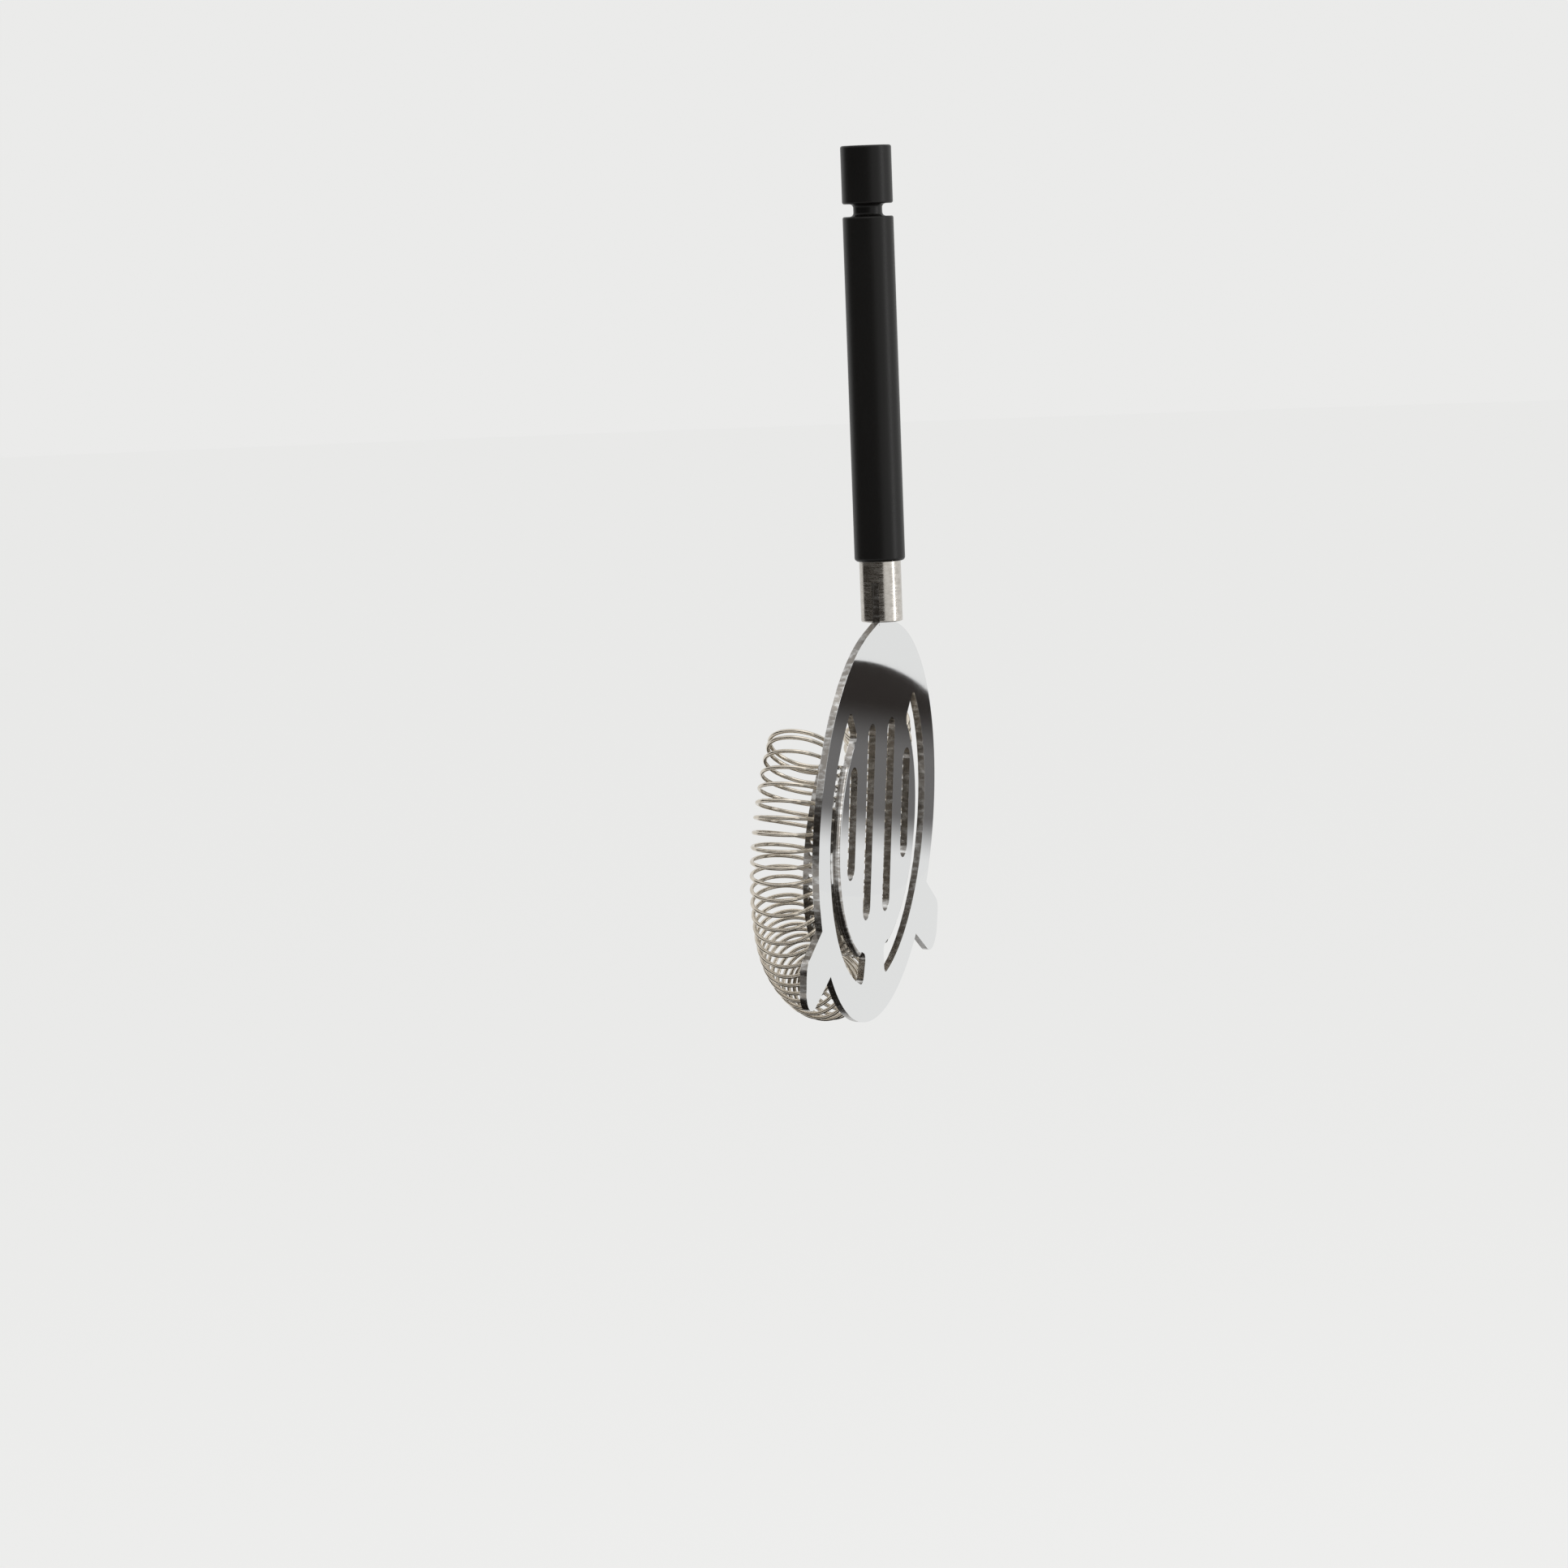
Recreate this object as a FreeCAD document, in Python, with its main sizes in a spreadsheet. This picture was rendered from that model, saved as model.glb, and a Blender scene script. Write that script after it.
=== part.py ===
"""Hawthorne strainer: a black handle with a hanging neck, a stainless ferrule, a polished
strainer plate with two perforated lips, and one long coil spring threaded through the lips.

Frame: millimetres, +Z up along the handle, origin in the middle of the hanging neck.
The plate's polished front faces -Y, the coil spring stands behind it on the +Y side.
The plate has a frame of its own: x across, y up the plate, z out of its front face,
with its origin in the middle of the disc's front face.
"""
import FreeCAD, Part, Sketcher
import math
import os
import re
import sys

Vector = FreeCAD.Vector
Rotation = FreeCAD.Rotation

DRIVING_SIZES = [
    # handle, a tube closed at the top by a turned knob
    ("handle_dia", 10.2, "outside of the handle tube"),
    ("handle_len", 69.0, "length of the handle tube"),
    ("knob_dia", 10.2, "hanging knob"),
    ("knob_len", 11.6, "hanging knob, above its neck"),
    ("neck_dia", 5.8, "hanging neck"),
    ("neck_len", 2.5, "width of the hanging groove"),
    ("neck_round", 0.8, "fillet at the roots of the groove"),
    ("knob_round", 0.45, "rounded rims of the knob"),
    ("spigot_len", 14.0, "part of the knob inside the tube"),
    ("handle_top_round", 0.4, "rounded upper rim of the tube"),
    ("handle_foot_round", 0.8, "rounded lower rim of the tube"),
    ("glue_gap", 0.02, "clearance of the bonded and slotted fits"),
    # ferrule, a slotted bar between the handle and the plate
    ("ferrule_dia", 8.4, "outside of the ferrule, and with the gap the bore of the tube"),
    ("ferrule_show", 12.15, "ferrule below the handle"),
    ("ferrule_grip", 16.0, "ferrule inside the handle"),
    ("ferrule_round", 0.3, "rounded lower rim of the ferrule"),
    ("tang_len", 8.0, "depth of the slot for the plate's tang"),
    # plate
    ("plate_thick", 1.4, "sheet thickness"),
    ("disc_radius", 40.7, "disc"),
    ("disc_rise", 0.8, "middle of the disc above the middle of the lips"),
    ("disc_drop", 41.65, "from the ferrule's mouth to the middle of the lips"),
    ("bend_angle", 4.0, "plate bent back from the handle's line, degrees"),
    ("shoulder_half", 4.9, "half width of the plate at the ferrule's mouth"),
    ("shoulder_run", 10.8, "half width where the shoulders meet the disc"),
    ("inner_slot_x", 6.8, "middle of the two long slots"),
    ("inner_slot_top", 21.5, "long slots, upper end"),
    ("inner_slot_foot", 18.4, "long slots, lower end, below the middle"),
    ("outer_slot_x", 18.6, "middle of the two short slots"),
    ("outer_slot_top", 14.0, "short slots, upper end"),
    ("outer_slot_foot", 8.8, "short slots, lower end, below the middle"),
    ("slot_width", 5.2, "straight slots"),
    ("arc_inner", 26.2, "arc slots, inner radius, where the lips' folds begin"),
    ("arc_outer", 33.3, "arc slots, outer radius, about the disc's middle"),
    ("arc_round", 1.6, "corners of the arc slots"),
    ("arc_low_end", 13.6, "lower ends of the arc slots, degrees from the plate's foot"),
    ("arc_high_end", 139.5, "upper ends of the arc slots, degrees from the plate's foot"),
    # ears
    ("ear_root_angle", 25.0, "upper root of an ear on the disc, degrees below level"),
    ("ear_apex_angle", 42.0, "lower root of an ear, degrees below level"),
    ("ear_reach", 46.5, "upper outer corner of an ear"),
    ("ear_foot_reach", 45.8, "lower outer corner of an ear"),
    ("ear_shoulder", 21.9, "upper outer corner of an ear, below the middle"),
    ("ear_foot", 34.0, "lower outer corner of an ear, below the middle"),
    ("ear_shoulder_round", 3.2, "upper outer corner"),
    ("ear_foot_round", 4.5, "lower outer corner"),
    # lips
    ("lip_radius", 27.4, "outer face of the lips"),
    ("lip_thick", 0.9, "lip, drawn thinner than the sheet"),
    ("lip_depth", 7.05, "lip's rear edge behind the front face, level with the middle"),
    ("lip_slope", 4.2, "rear edge against the plate, degrees"),
    ("lip_low_end", 20.8, "lower ends of the lips, degrees from the plate's foot"),
    ("lip_high_end", 122.6, "upper ends of the lips, degrees from the plate's foot"),
    ("fold_round", 1.1, "outside of the fold"),
    ("spring_tilt", 2.8, "spring against the plate, degrees"),
    ("hole_lean", 0.9, "row of wire holes against the spring, degrees"),
    ("divisions", 70, "wire holes in a full circle"),
    ("hole_count", 20, "wire holes in a lip"),
    ("first_hole", 4.5, "lowest hole of a lip, counted in pitches from the plate's foot"),
    ("hole_width", 1.3, "wire holes, across"),
    ("hole_near", 2.2, "wire holes, front end behind the front face"),
    ("hole_far", 6.2, "wire holes, rear end behind the front face"),
    # spring
    ("wire_dia", 0.8, "spring wire"),
    ("ring_radius", 6.75, "middle of the wire in one turn"),
    ("coil_radius", 31.0, "middle of the turns about the middle of the lips"),
    ("coil_depth", 9.65, "middle of the turns behind the front face"),
    ("coil_sag", 2.4, "how far the lowest turn hangs below the circle of the turns"),
    ("coil_swing", 2.1, "how far the lowest turn leans towards the front"),
    ("sag_angle", 38.0, "half of the stretch that sags, degrees"),
    ("closed_pitch", 2.0, "pitch of the closed end turns, degrees"),
]

doc = FreeCAD.newDocument("hawthorne_strainer")
sheet = doc.addObject("Spreadsheet::Sheet", "Sizes")
for row, (alias, number, meaning) in enumerate(DRIVING_SIZES, start=1):
    sheet.set("A%d" % row, meaning)
    sheet.set("B%d" % row, str(number))
    sheet.setAlias("B%d" % row, alias)
doc.recompute()


def of_sheet(expression):
    """Write Sizes. before every alias that an expression names."""
    names = {alias for alias, number, meaning in DRIVING_SIZES}
    return re.sub("[a-z_]+", lambda word: ("Sizes." if word[0] in names else "") + word[0], expression)


def value(expression):
    """The number that an expression on the sheet stands for."""
    return float(sheet.evalExpression(expression))


def bind(item, prop, expression):
    item.setExpression(prop, of_sheet(expression))


# ---------------------------------------------------------------- modelling helpers

def new_body(label):
    body = doc.addObject("PartDesign::Body", label)
    body.Label = label
    return body


def plane(body, role):
    return next(item for item in body.Origin.OriginFeatures if item.Role == role)


def new_sketch(body, name, role, offset=None):
    sketch = body.newObject("Sketcher::SketchObject", name)
    sketch.AttachmentSupport = [(plane(body, role), "")]
    sketch.MapMode = "FlatFace"
    if offset:
        bind(sketch, "AttachmentOffset", offset)
        doc.recompute()
    return sketch


def pin(sketch, kind, axis, geometry, corner, expression):
    """Hold a point's distance from the sketch's origin along one axis at an expression."""
    number = value(expression)
    if abs(number) < 1e-9:
        sketch.addConstraint(Sketcher.Constraint("PointOnObject", geometry, corner, axis))
        return
    ends = (-1, 1, geometry, corner) if number > 0 else (geometry, corner, -1, 1)
    index = sketch.addConstraint(Sketcher.Constraint(kind, *ends, abs(number)))
    bind(sketch, "Constraints[%d]" % index, expression if number > 0 else "0 - (%s)" % expression)


def pin_across(sketch, geometry, corner, x):
    pin(sketch, "DistanceX", -2, geometry, corner, x)


def pin_point(sketch, geometry, corner, x, y):
    pin_across(sketch, geometry, corner, x)
    pin(sketch, "DistanceY", -1, geometry, corner, y)


def polygon(sketch, corners):
    """Closed outline through corners given as pairs of expressions."""
    points = [Vector(value(x), value(y), 0) for x, y in corners]
    first = sketch.GeometryCount
    count = len(points)
    for i in range(count):
        sketch.addGeometry(Part.LineSegment(points[i], points[(i + 1) % count]))
    for i in range(count):
        joint = (first + i, 2, first + (i + 1) % count, 1)
        sketch.addConstraint(Sketcher.Constraint("Coincident", *joint))
        pin_point(sketch, first + i, 1, *corners[i])


def obround(sketch, x, top, bottom, width):
    """Upright slot with round ends: x of its middle, y of its ends and its width."""
    low = "%s + %s / 2" % (bottom, width)
    high = "%s - %s / 2" % (top, width)
    middle, half = value(x), value(width) / 2
    upper, lower = Vector(middle, value(high), 0), Vector(middle, value(low), 0)
    up = Vector(0, 0, 1)
    side = Vector(half, 0, 0)
    first = sketch.GeometryCount
    sketch.addGeometry(Part.ArcOfCircle(Part.Circle(upper, up, half), 0, math.pi))
    sketch.addGeometry(Part.LineSegment(upper - side, lower - side))
    sketch.addGeometry(Part.ArcOfCircle(Part.Circle(lower, up, half), math.pi, 2 * math.pi))
    sketch.addGeometry(Part.LineSegment(lower + side, upper + side))
    top_arc, left, bottom_arc, right = range(first, first + 4)
    for one, end, other, start in ((top_arc, 2, left, 1), (left, 2, bottom_arc, 1),
                                   (bottom_arc, 2, right, 1), (right, 2, top_arc, 1)):
        sketch.addConstraint(Sketcher.Constraint("Tangent", one, end, other, start))
    pin_point(sketch, top_arc, 3, x, high)
    pin_point(sketch, bottom_arc, 3, x, low)
    index = sketch.addConstraint(Sketcher.Constraint("Radius", top_arc, half))
    bind(sketch, "Constraints[%d]" % index, "%s / 2" % width)


def feature(body, kind, name, profile, **settings):
    """Add a sketch-based feature; text settings that name sizes are bound to the sheet."""
    item = body.newObject("PartDesign::" + kind, name)
    item.Profile = profile
    for prop, setting in settings.items():
        if prop in ("Length", "Angle"):
            bind(item, prop, setting)
        else:
            setattr(item, prop, setting)
    doc.recompute()
    return item


def turned(body, name, corners):
    """Revolve a half profile in the body's XZ plane about Z."""
    sketch = new_sketch(body, name + "_profile", "XZ_Plane")
    polygon(sketch, corners)
    return feature(body, "Revolution", name, sketch, ReferenceAxis=(sketch, ["V_Axis"]))


def edge_names(shape, wanted):
    return ["Edge%d" % (i + 1) for i, edge in enumerate(shape.Edges) if wanted(edge)]


def round_edges(body, name, wanted, radius, kind="Fillet"):
    """Fillet or chamfer the edges of the body's tip that a test picks out."""
    base = body.Tip
    names = edge_names(base.Shape, wanted)
    if not names:
        raise RuntimeError("%s: no edge found for %s" % (body.Label, name))
    item = body.newObject("PartDesign::" + kind, name)
    item.Base = (base, names)
    bind(item, "Radius" if kind == "Fillet" else "Size", radius)
    doc.recompute()
    return item


def is_rim(radius, z):
    """Test for a full circle about Z with this radius at this height."""
    def wanted(edge):
        curve = edge.Curve
        return (isinstance(curve, Part.Circle) and abs(curve.Radius - radius) < 1e-4
                and abs(edge.BoundBox.ZMin - z) < 1e-4 and abs(edge.BoundBox.ZMax - z) < 1e-4)
    return wanted


def is_upright(places):
    """Test for a straight edge along Z through one of these x, y places."""
    def wanted(edge):
        box = edge.BoundBox
        if box.XLength > 1e-4 or box.YLength > 1e-4:
            return False
        return any(math.hypot(box.XMin - x, box.YMin - y) < 1e-3 for x, y in places)
    return wanted


def must_shrink(before, item):
    if item.Shape.Volume > before - 1e-3:
        raise RuntimeError("%s cut nothing" % item.Name)


# ---------------------------------------------------------------- handle

GROOVE_TOP = "neck_len / 2"
GROOVE_FOOT = "0 - neck_len / 2"
TUBE_FOOT = "0 - neck_len / 2 - handle_len"
MOUTH = "0 - neck_len / 2 - handle_len - ferrule_show"


def make_hanging_knob():
    """Turned knob: a cap, the narrow neck it hangs by, and a spigot bonded into the tube."""
    body = new_body("hanging_knob")
    cap_top = GROOVE_TOP + " + knob_len"
    spigot_foot = GROOVE_FOOT + " - spigot_len"
    turned(body, "knob", [
        ("0", cap_top), ("knob_dia / 2", cap_top), ("knob_dia / 2", GROOVE_TOP),
        ("neck_dia / 2", GROOVE_TOP), ("neck_dia / 2", GROOVE_FOOT),
        ("ferrule_dia / 2", GROOVE_FOOT), ("ferrule_dia / 2", spigot_foot), ("0", spigot_foot)])
    top, neck, cap = value(GROOVE_TOP), value("neck_dia / 2"), value("knob_dia / 2")
    roots = [is_rim(neck, top), is_rim(neck, -top)]
    rims = [is_rim(cap, value(cap_top)), is_rim(cap, top)]
    round_edges(body, "neck_roots", lambda edge: any(test(edge) for test in roots), "neck_round")
    round_edges(body, "cap_rims", lambda edge: any(test(edge) for test in rims), "knob_round")
    return body


def make_handle_sleeve():
    """Handle tube, its bore a bonded fit on the knob's spigot and on the ferrule."""
    body = new_body("handle_sleeve")
    bore = "ferrule_dia / 2 + glue_gap"
    turned(body, "tube", [
        (bore, GROOVE_FOOT), ("handle_dia / 2", GROOVE_FOOT),
        ("handle_dia / 2", TUBE_FOOT), (bore, TUBE_FOOT)])
    outside = value("handle_dia / 2")
    wall = "(handle_dia - ferrule_dia) / 2 - glue_gap"
    round_edges(body, "upper_rim", is_rim(outside, value(GROOVE_FOOT)),
                "min(handle_top_round; %s - 0.1)" % wall)
    round_edges(body, "lower_rim", is_rim(outside, value(TUBE_FOOT)),
                "min(handle_foot_round; %s - 0.1)" % wall)
    return body


def make_ferrule():
    """Stainless bar, bonded in the tube, its foot slotted across for the plate's tang."""
    body = new_body("ferrule")
    head = TUBE_FOOT + " + ferrule_grip"
    turned(body, "bar", [("0", head), ("ferrule_dia / 2", head), ("ferrule_dia / 2", MOUTH), ("0", MOUTH)])
    rim = value("ferrule_dia / 2")
    round_edges(body, "foot_rim", is_rim(rim, value(MOUTH)), "ferrule_round")
    round_edges(body, "head_rim", is_rim(rim, value(head)), "ferrule_round * 2", "Chamfer")
    before = body.Shape.Volume
    sketch = new_sketch(body, "slot_profile", "YZ_Plane")
    half = "plate_thick / 2 + glue_gap"
    roof = MOUTH + " + tang_len + glue_gap"
    floor = MOUTH + " - 1"
    polygon(sketch, [("0 - (%s)" % half, floor), (half, floor), (half, roof), ("0 - (%s)" % half, roof)])
    slot = feature(body, "Pocket", "tang_slot", sketch, Type="Length", Length="ferrule_dia * 2",
                   SideType="Symmetric")
    must_shrink(before, slot)
    return body


# ---------------------------------------------------------------- plate

PITCH = "360 / divisions"


def plate_placement():
    """Disc's frame: tilted back about the ferrule's mouth, the sheet's middle on the handle's axis."""
    bend = "bend_angle"
    y = "disc_drop * sin(%s) - plate_thick / 2 * cos(%s)" % (bend, bend)
    z = "%s - disc_drop * cos(%s) - plate_thick / 2 * sin(%s)" % (MOUTH, bend, bend)
    return y, z, "90 + " + bend


def bind_plate_placement(item):
    y, z, angle = plate_placement()
    item.Placement = FreeCAD.Placement(Vector(0, 0, 0), Rotation(Vector(1, 0, 0), 90))
    bind(item, "Placement.Base.y", y)
    bind(item, "Placement.Base.z", z)
    bind(item, "Placement.Rotation.Angle", angle)


def make_disc(body):
    sketch = new_sketch(body, "disc_profile", "XY_Plane")
    sketch.addGeometry(Part.Circle(Vector(0, value("disc_rise"), 0), Vector(0, 0, 1), value("disc_radius")))
    pin_point(sketch, 0, 3, "0", "disc_rise")
    index = sketch.addConstraint(Sketcher.Constraint("Radius", 0, value("disc_radius")))
    bind(sketch, "Constraints[%d]" % index, "disc_radius")
    feature(body, "Pad", "disc", sketch, Length="plate_thick", Reversed=True)


def make_shoulders_and_tang(body):
    """Shoulders that rise from the disc to the mouth, and the tang, in line with the handle."""
    sketch = new_sketch(body, "shoulder_profile", "XY_Plane")
    brow = "disc_drop - glue_gap"
    foot = "disc_rise + sqrt(disc_radius * disc_radius - shoulder_run * shoulder_run)"
    half, run = "shoulder_half", "shoulder_run"
    polygon(sketch, [
        ("0 - " + run, foot), ("0 - " + half, brow), (half, brow), (run, foot),
        (run, foot + " - 6"), ("0 - " + run, foot + " - 6")])
    feature(body, "Pad", "shoulders", sketch, Length="plate_thick", Reversed=True)
    offset = "placement(vector(0 ; disc_drop ; 0 - plate_thick / 2) ; " \
             "rotation(vector(1 ; 0 ; 0) ; 0 - bend_angle))"
    tang = new_sketch(body, "tang_profile", "XY_Plane", offset)
    side = "ferrule_dia / 2 - ferrule_round / 4"
    polygon(tang, [("0 - (%s)" % side, "0 - 0.6"), (side, "0 - 0.6"),
                   (side, "tang_len"), ("0 - (%s)" % side, "tang_len")])
    feature(body, "Pad", "tang", tang, Length="plate_thick", SideType="Symmetric")


def make_ears(body):
    """Two ears that hook over the rim of the mixing glass."""
    sketch = new_sketch(body, "ear_profile", "XY_Plane")
    for side in ("", "0 - "):
        level = "disc_rise - disc_radius * sin(%s)"
        root = ("disc_radius * cos(ear_root_angle)", level % "ear_root_angle")
        apex = ("disc_radius * cos(ear_apex_angle)", level % "ear_apex_angle")
        # well inside the disc, so that the ear's outline closes under it
        inside = ("disc_radius * cos(ear_apex_angle) * 0.94", level % "ear_root_angle")
        shoulder = ("ear_reach", "0 - ear_shoulder")
        foot = ("ear_foot_reach", "0 - ear_foot")
        corners = [root, shoulder, foot, apex, inside]
        polygon(sketch, [(side + x, y) for x, y in corners])
    feature(body, "Pad", "ears", sketch, Length="plate_thick", Reversed=True)
    for corner, reach in (("ear_shoulder", "ear_reach"), ("ear_foot", "ear_foot_reach")):
        places = [(sign * value(reach), -value(corner)) for sign in (1, -1)]
        round_edges(body, corner + "_corners", is_upright(places), corner + "_round")


def make_straight_slots(body):
    before = body.Shape.Volume
    sketch = new_sketch(body, "straight_slot_profile", "XY_Plane")
    for side in ("", "0 - "):
        obround(sketch, side + "inner_slot_x", "inner_slot_top", "0 - inner_slot_foot", "slot_width")
        obround(sketch, side + "outer_slot_x", "outer_slot_top", "0 - outer_slot_foot", "slot_width")
    slots = feature(body, "Pocket", "straight_slots", sketch, Type="Length",
                    Length="plate_thick * 3", SideType="Symmetric")
    must_shrink(before, slots)


def arc_corner(radius, turn, rise):
    """Where the ray at an angle from the plate's foot meets a circle whose middle is raised."""
    along = "(sqrt(%s ^ 2 - (%s * sin(%s)) ^ 2) - %s * cos(%s))" % (radius, rise, turn, rise, turn)
    return "%s * sin(%s)" % (along, turn), "0 - %s * cos(%s)" % (along, turn)


def make_arc_slots(body):
    """Arc slots left where the lips were folded back."""
    before = body.Shape.Volume
    sketch = new_sketch(body, "arc_slot_profile", "XY_Plane")
    corners = []
    for side in (1, -1):
        ends = ("arc_low_end", "arc_high_end")[::side]
        circles = []
        for radius, rise in (("arc_inner", "0"), ("arc_outer", "disc_rise")):
            middle = Vector(0, value(rise), 0)
            stops = [arc_corner(radius, turn, rise) for turn in ends]
            if side < 0:
                stops = [("0 - " + x, y) for x, y in stops]
            places = [Vector(value(x), value(y), 0) for x, y in stops]
            start, end = [math.atan2(place.y - middle.y, place.x) for place in places]
            if end < start:
                end += 2 * math.pi
            circle = Part.Circle(middle, Vector(0, 0, 1), value(radius))
            index = sketch.addGeometry(Part.ArcOfCircle(circle, start, end))
            pin_point(sketch, index, 3, "0", rise)
            number = sketch.addConstraint(Sketcher.Constraint("Radius", index, value(radius)))
            bind(sketch, "Constraints[%d]" % number, radius)
            for corner, (x, y) in enumerate(stops, start=1):
                pin_across(sketch, index, corner, x)
            corners += [(place.x, place.y) for place in places]
            circles.append((index, places))
        for corner in (0, 1):
            (inner, inner_places), (outer, outer_places) = circles
            line = sketch.addGeometry(Part.LineSegment(inner_places[corner], outer_places[corner]))
            sketch.addConstraint(Sketcher.Constraint("Coincident", line, 1, inner, corner + 1))
            sketch.addConstraint(Sketcher.Constraint("Coincident", line, 2, outer, corner + 1))
    slots = feature(body, "Pocket", "arc_slots", sketch, Type="Length",
                    Length="plate_thick * 3", SideType="Symmetric")
    must_shrink(before, slots)
    round_edges(body, "arc_slot_corners", is_upright(corners), "arc_round")


def make_lips(body):
    """Lips folded back from the arc slots' inner edges, rear edges cut on a slope."""
    reach = "(lip_depth + lip_radius * tan(lip_slope))"
    middle = "90 - (lip_low_end + lip_high_end) / 2"
    inside = "lip_radius - lip_thick"
    for name, turn in (("right_lip", "0 - (%s)" % middle), ("left_lip", "180 + (%s)" % middle)):
        offset = "placement(vector(0; 0; 0); rotation(vector(0; 1; 0); %s))" % turn
        sketch = new_sketch(body, name + "_profile", "XZ_Plane", offset)
        polygon(sketch, [
            ("arc_inner - plate_thick", "0"), ("lip_radius", "0"), ("lip_radius", "0 - " + reach),
            (inside, "0 - " + reach), (inside, "0 - plate_thick - lip_thick / 2"),
            (inside + " - lip_thick / 2", "0 - plate_thick"), ("arc_inner - plate_thick", "0 - plate_thick")])
        feature(body, "Revolution", name, sketch, ReferenceAxis=(sketch, ["V_Axis"]),
                Angle="lip_high_end - lip_low_end", Midplane=True)
    before = body.Shape.Volume
    sketch = new_sketch(body, "lip_edge_profile", "YZ_Plane")
    far, slope = "disc_radius", "disc_radius * tan(lip_slope)"
    polygon(sketch, [
        (far, "0 - lip_depth + " + slope), (far, "0 - lip_depth * 3"),
        ("0 - " + far, "0 - lip_depth * 3"), ("0 - " + far, "0 - lip_depth - " + slope)])
    trim = feature(body, "Pocket", "lip_edges", sketch, Type="Length", Length="disc_radius * 3",
                   SideType="Symmetric")
    must_shrink(before, trim)
    outside = value("lip_radius")

    def is_fold(edge):
        curve, box = edge.Curve, edge.BoundBox
        return (isinstance(curve, Part.Circle) and abs(curve.Radius - outside) < 1e-4
                and abs(box.ZMin) < 1e-4 and abs(box.ZMax) < 1e-4)

    round_edges(body, "folds", is_fold, "min(fold_round; lip_radius - arc_inner - 0.05)")


def make_wire_holes(body):
    """Long holes, one for each turn, in a row that leans a little more than the spring does."""
    middle = "(hole_near + hole_far) / 2"
    spring = "placement(vector(0; 0 - coil_depth; 0); rotation(vector(1; 0; 0); spring_tilt))"
    lean = "placement(vector(0; coil_depth - %s; 0); rotation(vector(1; 0; 0); hole_lean))" % middle
    seat = spring + " * " + lean
    axis = new_sketch(body, "spring_axis", "XZ_Plane", seat)
    start = "lip_radius - lip_thick * 2"
    for side, turn in (("right", "first_hole * %s" % PITCH), ("left", "0 - first_hole * %s" % PITCH)):
        before = body.Shape.Volume
        spin = "placement(vector(0; 0; 0); rotation(vector(0; 1; 0); %s))" % turn
        slide = "placement(vector(0; 0; %s); rotation(vector(0; 1; 0); 0))" % start
        sketch = new_sketch(body, side + "_hole_profile", "XZ_Plane", " * ".join((seat, spin, slide)))
        half = "(hole_far - hole_near) / 2"
        obround(sketch, "0", half, "0 - " + half, "hole_width")
        hole = feature(body, "Pocket", side + "_hole", sketch, Type="Length", Length="lip_thick * 3",
                       Reversed=True)
        must_shrink(before, hole)
        row = body.newObject("PartDesign::PolarPattern", side + "_holes")
        row.Originals = [hole]
        row.Axis = (axis, ["V_Axis"])
        row.Reversed = side == "left"
        bind(row, "Angle", "(hole_count - 1) * " + PITCH)
        bind(row, "Occurrences", "hole_count")
        body.Tip = row
        doc.recompute()
        before = hole.Shape.Volume
        must_shrink(before, row)


def make_strainer_plate():
    """Polished plate: disc, shoulders, tang, ears, slots, and two perforated lips."""
    body = new_body("strainer_plate")
    make_disc(body)
    make_shoulders_and_tang(body)
    make_ears(body)
    make_straight_slots(body)
    make_arc_slots(body)
    make_lips(body)
    make_wire_holes(body)
    bind_plate_placement(body)
    return body


# ---------------------------------------------------------------- spring

def coil_path():
    """Return point(a) of the wire's middle, in the spring's frame, and the two end values of a.

    a turns once for each turn of wire, and the turns stand round the foot of the plate. The
    wire crosses the middle of a lip at a = crossing + 360 k, half a pitch from a full turn.
    """
    pitch, closed = value(PITCH), value("closed_pitch")
    ring, radius = value("ring_radius"), value("coil_radius")
    sag, swing, sag_end = value("coil_sag"), value("coil_swing"), value("sag_angle")
    crossing = math.degrees(math.acos((value("lip_radius - lip_thick / 2") - radius) / ring))
    even = value("first_hole + hole_count - 1")
    easing = 1.0
    free_turns = 2

    def station(turns):
        size = abs(turns)
        angle = pitch * min(size, even)
        eased = min(max(size - even, 0), easing)
        angle += pitch * eased - (pitch - closed) * eased ** 2 / (2 * easing)
        angle += closed * max(size - even - easing, 0)
        return math.copysign(angle, turns)

    def point(a):
        angle = station((crossing - a) / 360 - 0.5)
        low = 0.0
        if abs(angle) < sag_end:
            low = math.cos(math.radians(90 * angle / sag_end)) ** 2
        r = radius + sag * low + ring * math.cos(math.radians(a))
        turn = math.radians(angle)
        depth = ring * math.sin(math.radians(a)) + swing * low
        return Vector(r * math.sin(turn), -r * math.cos(turn), depth)

    tip = 90
    turns = round(even + 0.5) + free_turns - 1
    return point, tip - 360 * (turns + 1), tip + 360 * turns


def arc_tube(start, tangent, end, diameter):
    """Tube along the arc that leaves start along tangent and reaches end; returns faces, length."""
    chord = end - start
    sideways = chord - tangent * chord.dot(tangent)
    inward = Vector(sideways).normalize()
    radius = chord.dot(chord) / (2 * sideways.Length)
    angle = 2 * math.atan2(sideways.Length, chord.dot(tangent))
    across = tangent.cross(-inward)
    frame = FreeCAD.Matrix(-inward.x, across.x, tangent.x, start.x,
                           -inward.y, across.y, tangent.y, start.y,
                           -inward.z, across.z, tangent.z, start.z, 0, 0, 0, 1)
    section = Part.Wire([Part.Circle(Vector(0, 0, 0), Vector(0, 0, 1), diameter / 2).toShape()])
    section.Placement = FreeCAD.Placement(frame)
    tube = section.revolve(start + inward * radius, tangent.cross(inward), math.degrees(angle))
    return tube.Faces, radius * angle


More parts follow.
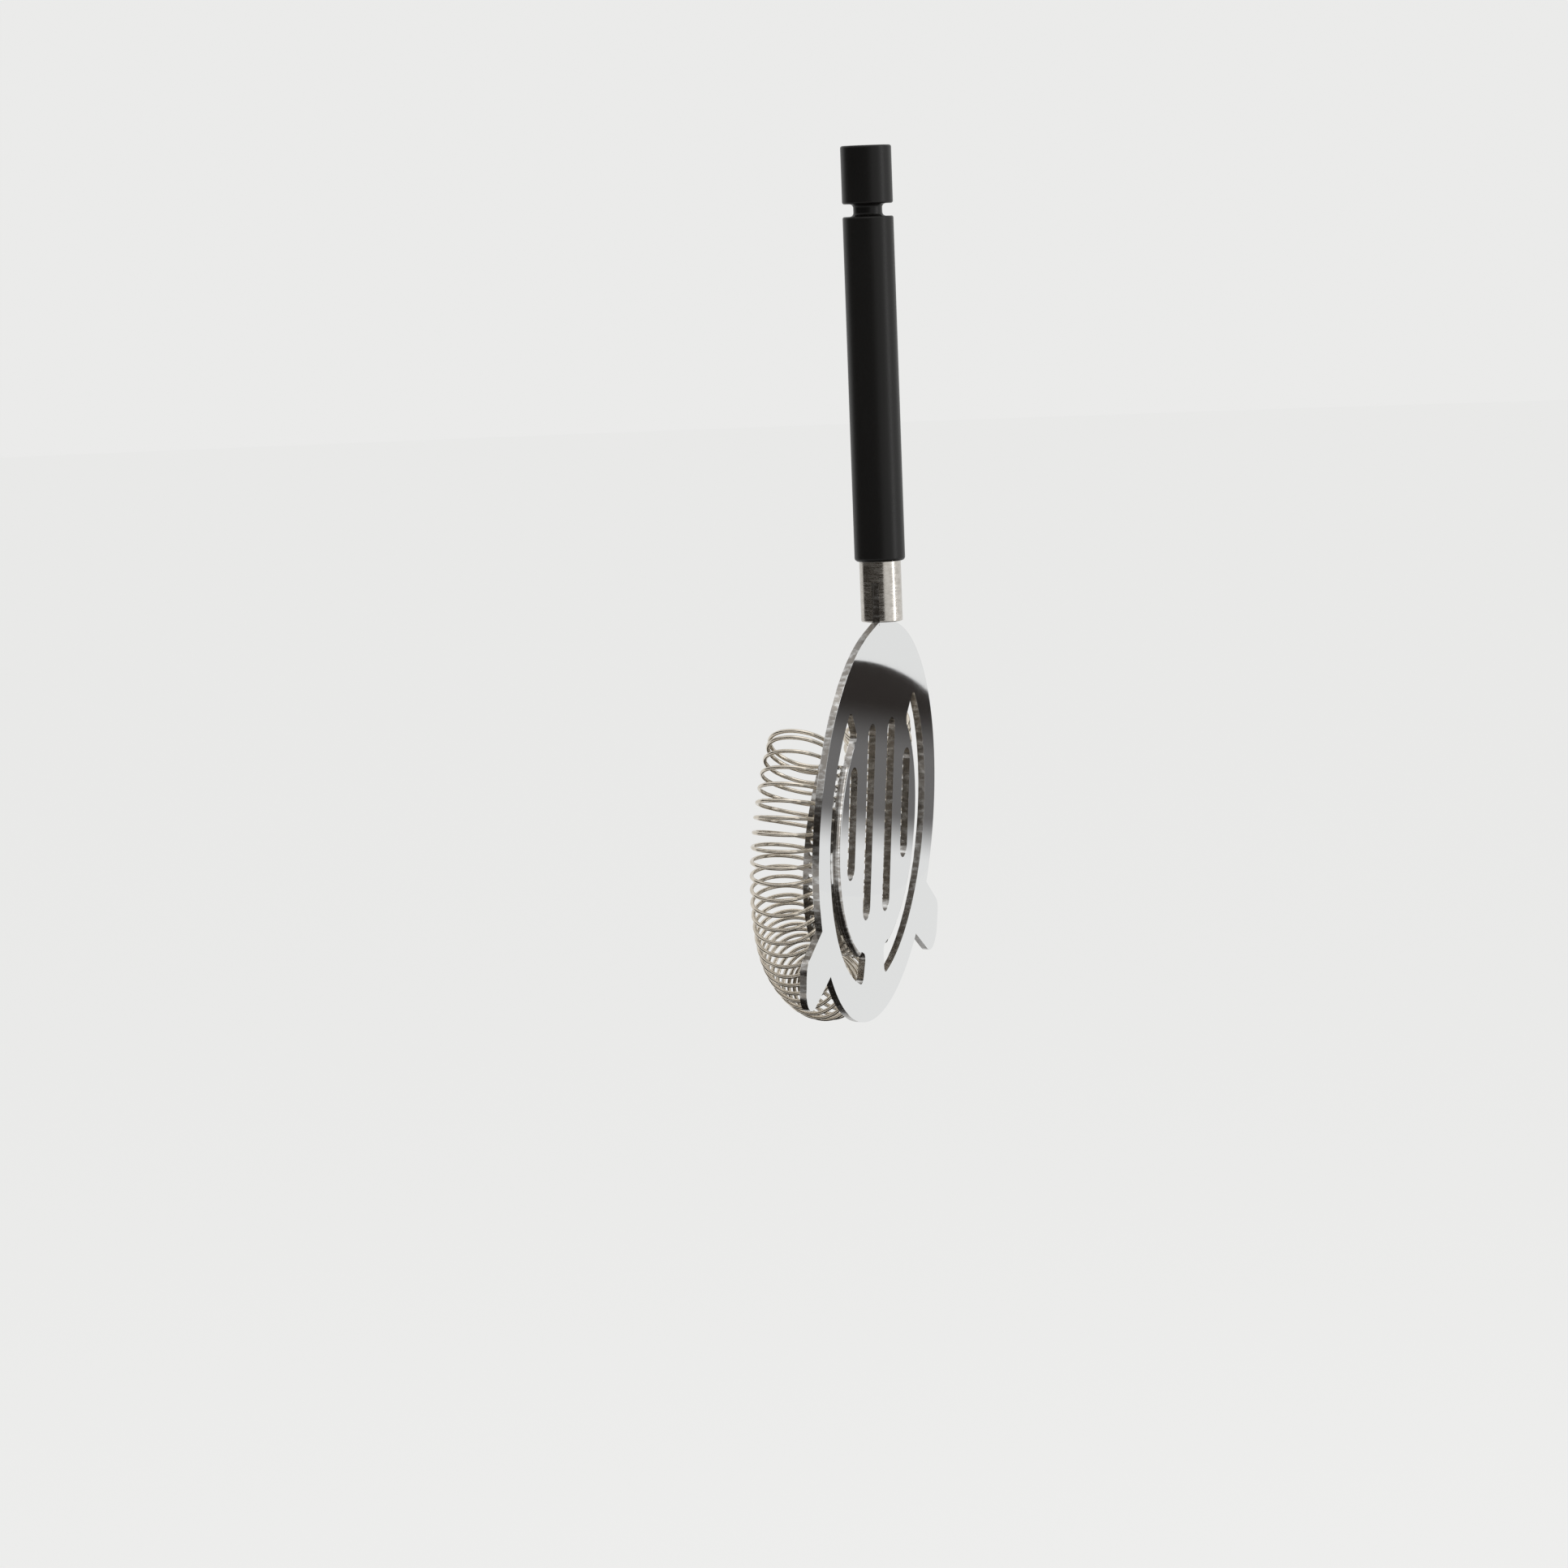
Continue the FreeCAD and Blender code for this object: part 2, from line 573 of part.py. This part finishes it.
def make_coil_spring():
    """One wire wound in turns that stand round the plate's foot, ends closed.

    The wire is a chain of arcs, each tangent to the next: between two stations with known
    tangents, two arcs meet half way.
    """
    point, first, last = coil_path()
    stations_per_turn = 4
    wire = value("wire_dia")
    count = int(round((last - first) / 360 * stations_per_turn))
    stops = [first + (last - first) * i / count for i in range(count + 1)]
    places = [point(a) for a in stops]
    step = 0.01
    headings = [(point(a + step) - point(a - step)).normalize() for a in stops]
    faces, length = [], 0.0
    for i in range(count):
        p0, p1, t0, t1 = places[i], places[i + 1], headings[i], headings[i + 1]
        chord = p1 - p0
        quad, half_linear = 2 * (t0.dot(t1) - 1), -chord.dot(t0 + t1)
        root = math.sqrt(half_linear ** 2 - quad * chord.dot(chord))
        reach = (-half_linear - root) / quad
        knee0, knee1 = p0 + t0 * reach, p1 - t1 * reach
        middle, heading = (knee0 + knee1) * 0.5, (knee1 - knee0).normalize()
        for start, tangent, end in ((p0, t0, middle), (middle, heading, p1)):
            tube, run = arc_tube(start, tangent, end, wire)
            faces += tube
            length += run
    for i in (0, -1):
        rim = Part.Circle(places[i], headings[i], wire / 2).toShape()
        faces.append(Part.Face(Part.Wire([rim])))
    shell = Part.makeShell(faces)
    shell.sewShape()
    solid = Part.Solid(shell)
    if solid.Volume < 0:
        solid.reverse()
    expected = length * math.pi * wire ** 2 / 4
    if abs(solid.Volume - expected) > expected * 1e-3:
        raise RuntimeError("spring wire: volume %.2f, expected %.2f" % (solid.Volume, expected))
    print("spring: %.0f mm of wire in %.1f turns" % (length, (last - first) / 360))
    item = doc.addObject("Part::Feature", "coil_spring")
    item.Label = "coil_spring"
    item.Shape = solid
    y, z, angle = plate_placement()
    plate = FreeCAD.Placement(Vector(0, value(y), value(z)), Rotation(Vector(1, 0, 0), value(angle)))
    tilt = Rotation(Vector(1, 0, 0), value("spring_tilt"))
    seat = FreeCAD.Placement(Vector(0, 0, -value("coil_depth")), tilt)
    item.Placement = plate.multiply(seat)
    return item


# ---------------------------------------------------------------- build and write

parts = [make_hanging_knob(), make_handle_sleeve(), make_ferrule(), make_strainer_plate(),
         make_coil_spring()]
doc.recompute()

faults = ["%s: %s" % (item.Label, item.State) for item in doc.Objects
          if "Invalid" in item.State or "Error" in item.State]
faults += ["%s: bad shape" % item.Label for item in parts
           if item.Shape.isNull() or not item.Shape.isValid() or not item.Shape.Solids]
if faults:
    print("\n".join(faults))
    sys.exit(1)

os.makedirs("parts", exist_ok=True)
for item in parts:
    item.Shape.exportStep("parts/%s.step" % item.Label)
    box = item.Shape.BoundBox
    print("%-16s solids %d volume %9.2f  x %7.2f %7.2f  y %7.2f %7.2f  z %8.2f %8.2f" % (
        item.Label, len(item.Shape.Solids), item.Shape.Volume,
        box.XMin, box.XMax, box.YMin, box.YMax, box.ZMin, box.ZMax))
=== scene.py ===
import math

import bpy
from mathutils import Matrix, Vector


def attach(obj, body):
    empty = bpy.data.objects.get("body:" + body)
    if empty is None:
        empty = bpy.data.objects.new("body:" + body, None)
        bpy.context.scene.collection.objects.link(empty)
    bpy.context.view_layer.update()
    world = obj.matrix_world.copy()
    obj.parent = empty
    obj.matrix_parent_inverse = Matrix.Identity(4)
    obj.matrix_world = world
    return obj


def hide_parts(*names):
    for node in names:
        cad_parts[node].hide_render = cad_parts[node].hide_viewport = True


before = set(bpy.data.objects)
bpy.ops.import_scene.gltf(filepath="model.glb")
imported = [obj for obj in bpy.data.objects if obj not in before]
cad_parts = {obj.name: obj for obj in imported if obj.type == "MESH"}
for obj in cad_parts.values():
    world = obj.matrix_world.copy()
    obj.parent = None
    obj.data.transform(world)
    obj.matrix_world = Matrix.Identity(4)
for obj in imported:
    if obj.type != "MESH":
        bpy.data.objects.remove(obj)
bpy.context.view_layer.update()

bpy.ops.object.select_all(action="DESELECT")


# ---------------------------------------------------------------- handle tube and hanging knob
# The handle is a steel tube, powder coated satin black. The knob is turned from bar with a
# narrow neck that drops into a rack, coated in the same bath and bonded into the tube's top.

class Amount:
    """A number that changes over a surface; sums written with it become Math nodes."""

    def __init__(self, finish, socket):
        self.finish, self.socket = finish, socket

    def maths(self, operation, first, second):
        return self.finish.amount("ShaderNodeMath", {"operation": operation}, {0: first, 1: second})

    def __add__(self, other):
        return self.maths("ADD", self, other)

    def __sub__(self, other):
        return self.maths("SUBTRACT", self, other)

    def __rsub__(self, other):
        return self.maths("SUBTRACT", other, self)

    def __mul__(self, other):
        return self.maths("MULTIPLY", self, other)

    __radd__, __rmul__ = __add__, __mul__

    def between(self, low, high):
        """0 below low, 1 above high and smooth from one to the other."""
        return self.finish.amount("ShaderNodeMapRange", {"interpolation_type": "SMOOTHSTEP"},
                                  {"Value": self, "From Min": low, "From Max": high})


class Finish:
    """A material, its shader and the nodes that feed it."""

    def __init__(self, name, **constants):
        self.material = bpy.data.materials.new(name)
        self.material.use_nodes = True
        self.tree = self.material.node_tree
        self.shader = self.tree.nodes["Principled BSDF"]
        self.set(**constants)
        self.place = self.node("ShaderNodeTexCoord").outputs["Object"]

    def feed(self, entry, value):
        """A socket gets a number or colour of its own, or a link."""
        value = value.socket if isinstance(value, Amount) else value
        if isinstance(value, bpy.types.NodeSocket):
            self.tree.links.new(value, entry)
        else:
            entry.default_value = value

    def set(self, **sockets):
        """Feeds the shader's sockets, named with _ for each space."""
        for socket, value in sockets.items():
            self.feed(self.shader.inputs[socket.replace("_", " ")], value)

    def node(self, kind, settings=None, sockets=None):
        made = self.tree.nodes.new(kind)
        for setting, value in (settings or {}).items():
            setattr(made, setting, value)
        for key, value in (sockets or {}).items():
            self.feed(made.inputs[key], value)
        return made

    def amount(self, kind, settings=None, sockets=None, output=0):
        return Amount(self, self.node(kind, settings, sockets).outputs[output])

    def noise(self, scale, stretch=(1, 1, 1), detail=3, turn=(0, 0, 0)):
        """Noise of so many specks to the metre, squeezed along the axes by stretch."""
        place = self.node("ShaderNodeMapping", {},
                          {"Vector": self.place, "Scale": stretch, "Rotation": turn})
        return self.amount("ShaderNodeTexNoise", {},
                           {"Vector": place.outputs[0], "Scale": scale, "Detail": detail})

    def mix(self, share, first, second):
        """The first colour where share is 0, the second where it is 1."""
        made = self.node("ShaderNodeMix", {"data_type": "RGBA"}, {0: share, 6: first, 7: second})
        return made.outputs[2]

    def relief(self, height, depth, strength):
        """A height in the surface, depth metres from its lowest to its highest."""
        bump = self.node("ShaderNodeBump", {},
                         {"Height": height, "Distance": depth, "Strength": strength})
        self.set(Normal=bump.outputs[0])


def dress(node, finish):
    """A finish goes on every slot of a carried-over part."""
    for slot in bpy.data.objects[node].material_slots:
        slot.material = finish.material


COAT_BLACK = (0.0035, 0.0032, 0.003, 1)
COAT_DUSTED = (0.007, 0.0065, 0.006, 1)
POWDER_GRAIN = 0.00003                      # height of the coat's orange peel

black_coat = Finish("black_coat_finish", Specular_IOR_Level=0.22)
grain = black_coat.noise(2600, detail=4)
cloud = black_coat.noise(90, (1, 1, 0.35))
black_coat.set(Base_Color=black_coat.mix(cloud, COAT_BLACK, COAT_DUSTED),
               Roughness=0.26 + grain * 0.12 + cloud * 0.08)
black_coat.relief(grain, POWDER_GRAIN, 0.35)
dress("hanging_knob", black_coat)
dress("handle_sleeve", black_coat)


# ---------------------------------------------------------------- ferrule
# A stainless bar bonded in the tube's foot and slotted across for the plate's tang.
# It is linished round with a fine belt, which leaves cross scratches and a mottled shine.

BAR_DULL = (0.50, 0.47, 0.43, 1)
BAR_BRIGHT = (0.66, 0.63, 0.59, 1)
SCRATCH_DEPTH = 0.000015

brushed_bar = Finish("brushed_bar_finish", Metallic=1.0)
scratches = brushed_bar.noise(420, (0.5, 0.5, 14), detail=5)
mottle = brushed_bar.noise(1100, (1, 1, 1.6), detail=5)
brushed_bar.set(Base_Color=brushed_bar.mix(mottle.between(0.2, 0.8), BAR_DULL, BAR_BRIGHT),
                Roughness=0.13 + scratches.between(0.35, 0.8) * 0.2 + mottle * 0.08)
brushed_bar.relief(scratches * 0.8 + mottle * 0.2, SCRATCH_DEPTH, 0.22)
dress("ferrule", brushed_bar)


# ---------------------------------------------------------------- strainer plate
# Stainless sheet blanked with its ears and slots, lips folded back and drilled for the spring,
# then mirror polished on both faces. The cut edges keep the hatch of the linishing belt, and
# the cut edges and folded lips are given a dark brown colour that is painted shade.

MM = 0.001
PLATE_TILT = math.radians(4)                # the plate leans forward from the handle's line
FACE_CENTRE = Vector((0, 2.207, -124.0)) * MM
FACE_NORMAL = Vector((0, -math.cos(PLATE_TILT), -math.sin(PLATE_TILT)))
HALF_SHEET = 0.7 * MM
FACE_SHY = (0.64 * MM, 0.69 * MM)           # a cut edge ends and a face begins here
LIP_START = (0.75 * MM, 1.2 * MM)           # behind the sheet's middle

MIRROR_STEEL = (0.85, 0.86, 0.865, 1)
# painted shade and painted dark reflection: the dark brown given to the cut edges and folded lips
EDGE_PAINTED_SHADE = (0.16, 0.135, 0.11, 1)
HATCH_DEPTH = 0.00002

polished_plate = Finish("polished_plate_finish", Metallic=1.0)
from_middle = polished_plate.node("ShaderNodeVectorMath", {"operation": "SUBTRACT"},
                                  {0: polished_plate.place,
                                   1: FACE_CENTRE - FACE_NORMAL * HALF_SHEET})
forward = polished_plate.amount("ShaderNodeVectorMath", {"operation": "DOT_PRODUCT"},
                                {0: from_middle.outputs[0], 1: FACE_NORMAL}, "Value")
backward = forward * -1
is_lip = backward.between(*LIP_START)
# marks the cut edges and the folded lips, where the dark brown painted shade goes
is_edge = 1 - (forward.between(*FACE_SHY) + backward.between(*FACE_SHY) - is_lip)
hatch = polished_plate.noise(620, (0.5, 0.8, 2.2), turn=(0.6, 0, 0))
haze = polished_plate.noise(160, detail=4)
# The edges and lips take the dark brown, broken up by the real hatch: painted shade and painted
# reflection, not the steel's own colour.
polished_plate.set(
    Base_Color=polished_plate.mix(is_edge * (0.82 - hatch.between(0.42, 0.7) * 0.45),
                                  MIRROR_STEEL, EDGE_PAINTED_SHADE),
    Roughness=0.02 + haze * 0.02 + is_edge * (0.10 + hatch * 0.2))
polished_plate.relief(hatch * is_edge, HATCH_DEPTH, 0.2)
dress("strainer_plate", polished_plate)


# ---------------------------------------------------------------- coil spring
# One length of bright stainless wire, close wound on a mandrel and threaded by its turns
# through the drilled lips. Between the lips' ends it bows out below the plate.

WIRE_RADIUS = 0.4                           # sizes in millimetres and degrees
RING_RADIUS = 6.75
SPRING_RADIUS = 31.0                        # from the spring's centre to the rings' middles
LIP_MIDDLE = 26.95
SPRING_DEPTH = 9.65
SPRING_TILT = math.radians(2.8)
BOW_OUT, BOW_FORWARD, BOW_END = 2.4, 2.1, 38
HOLE_PITCH = 360 / 70
CLOSED_PITCH = 2.0
HELD_TURNS = 23.5                           # in the holes on each side of the plate's foot
SIDE_TURNS = 25
STEPS_PER_TURN = 60
WIRE_TIP = 90
CROSSING = math.degrees(math.acos((LIP_MIDDLE - SPRING_RADIUS) / RING_RADIUS))


def station(turns):
    """Degrees round the plate after so many turns from its foot."""
    held = min(abs(turns), HELD_TURNS)
    past = abs(turns) - held
    easing = min(past, 1.0)
    eased = HOLE_PITCH * easing + (CLOSED_PITCH - HOLE_PITCH) * easing * easing / 2
    return math.copysign(HOLE_PITCH * held + eased + CLOSED_PITCH * (past - easing), turns)


def wire_middle(turned):
    """The wire's middle in the spring's own axes, after the rings have turned so far."""
    across = station((CROSSING - turned) / 360 - 0.5)
    bow = math.cos(math.radians(90 * across / BOW_END)) ** 2 if abs(across) < BOW_END else 0.0
    ring, way = math.radians(turned), math.radians(across)
    reach = SPRING_RADIUS + BOW_OUT * bow + RING_RADIUS * math.cos(ring)
    return Vector((reach * math.sin(way), -reach * math.cos(way),
                   RING_RADIUS * math.sin(ring) + BOW_FORWARD * bow))


def behind_plate(point):
    """From the spring's own axes in millimetres to the frame in metres."""
    x, y, z = point
    y, z = (y * math.cos(SPRING_TILT) - z * math.sin(SPRING_TILT),
            y * math.sin(SPRING_TILT) + z * math.cos(SPRING_TILT) - SPRING_DEPTH)
    upright = math.radians(90) + PLATE_TILT
    turned = Vector((x, y * math.cos(upright) - z * math.sin(upright),
                     y * math.sin(upright) + z * math.cos(upright)))
    return turned * MM + FACE_CENTRE


first, last = WIRE_TIP - 360 * (SIDE_TURNS + 1), WIRE_TIP + 360 * SIDE_TURNS
steps = STEPS_PER_TURN * (2 * SIDE_TURNS + 1)
line = bpy.data.curves.new("coil", "CURVE")
line.dimensions = "3D"
line.bevel_depth, line.bevel_resolution, line.use_fill_caps = WIRE_RADIUS * MM, 4, True
spline = line.splines.new("POLY")
spline.points.add(steps)
for step, point in enumerate(spline.points):
    point.co = (*behind_plate(wire_middle(first + (last - first) * step / steps)), 1)
coil = bpy.data.objects.new("coil_wire", line)
bpy.context.scene.collection.objects.link(coil)
bpy.context.view_layer.objects.active = coil
coil.select_set(True)
bpy.ops.object.convert(target="MESH")
bpy.ops.object.mode_set(mode="EDIT")
bpy.ops.mesh.select_all(action="SELECT")
bpy.ops.mesh.remove_doubles(threshold=0.000001)
bpy.ops.mesh.normals_make_consistent(inside=False)
bpy.ops.object.mode_set(mode="OBJECT")
bpy.ops.object.shade_smooth_by_angle(angle=math.radians(40))
coil.select_set(False)

WIRE_DULL = (0.60, 0.54, 0.455, 1)
WIRE_BRIGHT = (0.74, 0.68, 0.59, 1)
DRAWN_DEPTH = 0.00001                       # marks of the die that the wire was drawn through

spring_wire = Finish("spring_wire_finish", Metallic=1.0)
drawn = spring_wire.noise(700, detail=4)
spring_wire.set(Base_Color=spring_wire.mix(drawn.between(0.2, 0.8), WIRE_DULL, WIRE_BRIGHT),
                Roughness=0.10 + drawn * 0.12)
spring_wire.relief(drawn, DRAWN_DEPTH, 0.1)
coil.data.materials.clear()
coil.data.materials.append(spring_wire.material)
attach(coil, "spring")
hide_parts("coil_spring")


# ---------------------------------------------------------------- floor and pale room
# The strainer hangs clear of a plain matt floor in a plain pale room, which both look
# the same pale grey.

def matt_paint(name, colour, glow=0.0):
    """Matt paint, lit from behind by its glow."""
    return Finish(name, Base_Color=(*colour, 1), Roughness=0.9, Specular_IOR_Level=0.0,
                  Emission_Color=(*colour, 1), Emission_Strength=glow)


PALE = (0.83, 0.83, 0.822, 1)
FLOOR_GREY = (0.50, 0.50, 0.497)
FLOOR_LEVEL = -0.6

world = bpy.data.worlds.new("pale_room")
world.use_nodes = True
world.node_tree.nodes["Background"].inputs["Color"].default_value = PALE
bpy.context.scene.world = world
bpy.ops.mesh.primitive_circle_add(vertices=96, radius=14, fill_type="NGON",
                                  location=(0, 0, FLOOR_LEVEL))
floor = bpy.context.object
floor.name = "floor"
floor.data.materials.append(matt_paint("floor_paint", FLOOR_GREY, 0.80).material)


# ---------------------------------------------------------------- cards round the strainer
# Bare metal shows what stands round it. These dark cards give the polished plate, the ferrule
# and the wire something to mirror; nothing else sees them and they throw no shadow.

CENTRE = Vector((0, 0, -0.09))
CARD_DARK = (0.03, 0.027, 0.024)


def only_mirrored(made, name, paint):
    made.name = name
    made.data.materials.append(paint.material)
    made.visible_camera = made.visible_diffuse = made.visible_shadow = False


def turn_to(made, target, axis):
    """The object's own axis points at the target."""
    made.rotation_euler = (Vector(target) - made.location).to_track_quat(axis, "Y").to_euler()


# a round card whose mirror image crosses the upper half of the plate's front, dark above
# and fading to the room's pale grey at its foot
bpy.ops.mesh.primitive_circle_add(vertices=96, radius=0.035, fill_type="NGON",
                                  location=(0.45, -0.134, -0.185))
turn_to(bpy.context.object, (-0.2, -0.134, -0.185), "Z")
shaded = Finish("shaded_paint", Base_Color=(0, 0, 0, 1), Specular_IOR_Level=0.0,
                Emission_Strength=1.0)
height = shaded.amount("ShaderNodeSeparateXYZ", {}, {0: shaded.place}, "Y")
upper = shaded.mix(height.between(0.008, 0.024), (0.155, 0.150, 0.148, 1),
                   (0.030, 0.026, 0.024, 1))
shaded.set(Emission_Color=shaded.mix(height.between(-0.022, -0.008), (0.80, 0.80, 0.795, 1), upper))
only_mirrored(bpy.context.object, "round_dark_card", shaded)

# flat cards under the strainer and at its right
for name, place, size in (("dark_table_card", (0.0, 0.0, -0.55), (0.9, 0.9)),
                          ("narrow_dark_card", (0.22, -1.0, -0.06), (0.10, 1.0))):
    bpy.ops.mesh.primitive_plane_add(size=1, location=place)
    bpy.context.object.scale = (*size, 1)
    turn_to(bpy.context.object, CENTRE, "Z")
    only_mirrored(bpy.context.object, name, matt_paint(name + "_paint", CARD_DARK))

# a curved wall at the left and behind the viewer
WALL_START, WALL_END = 84, 212              # degrees from +X towards +Y
bpy.ops.mesh.primitive_cylinder_add(vertices=96, radius=1.5, depth=1.0,
                                    end_fill_type="NOTHING", location=(0, 0, -0.06))
wall = bpy.context.object
bpy.ops.object.mode_set(mode="EDIT")
bpy.ops.mesh.select_all(action="DESELECT")
bpy.ops.object.mode_set(mode="OBJECT")
for face in wall.data.polygons:
    way = math.degrees(math.atan2(face.center.y, face.center.x)) % 360
    face.select = not WALL_START < way < WALL_END
bpy.ops.object.mode_set(mode="EDIT")
bpy.ops.mesh.delete(type="FACE")
bpy.ops.object.mode_set(mode="OBJECT")
only_mirrored(wall, "dark_wall", matt_paint("dark_wall_paint", (0.05, 0.045, 0.04)))


# ---------------------------------------------------------------- lights and camera
# A large soft light overhead, a tall one at the right that draws a line down the handle,
# and a camera level with the handle that looks along the plate from its left.

for name, place, size, power in (("top_light", (-0.2, -0.3, 1.3), (1.2, 1.2), 4),
                                 ("right_light", (0.15, -1.2, 0.15), (0.35, 1.4), 5)):
    bpy.ops.object.light_add(type="AREA", location=place)
    lamp = bpy.context.object
    lamp.name = name
    lamp.data.shape, lamp.data.energy = "RECTANGLE", power
    lamp.data.size, lamp.data.size_y = size
    turn_to(lamp, CENTRE, "-Z")

CAMERA_PLACE = (-0.998164, -0.299326, -0.001006)
CAMERA_TURN = (83.7681, 2.1088, -72.3847)   # degrees
bpy.ops.object.camera_add(location=CAMERA_PLACE,
                          rotation=tuple(math.radians(turn) for turn in CAMERA_TURN))
camera = bpy.context.object
camera.data.sensor_width, camera.data.lens = 36.0, 118.97
camera.data.clip_start, camera.data.clip_end = 0.01, 20.0
bpy.context.scene.camera = camera
bpy.context.scene.view_settings.view_transform = "Standard"
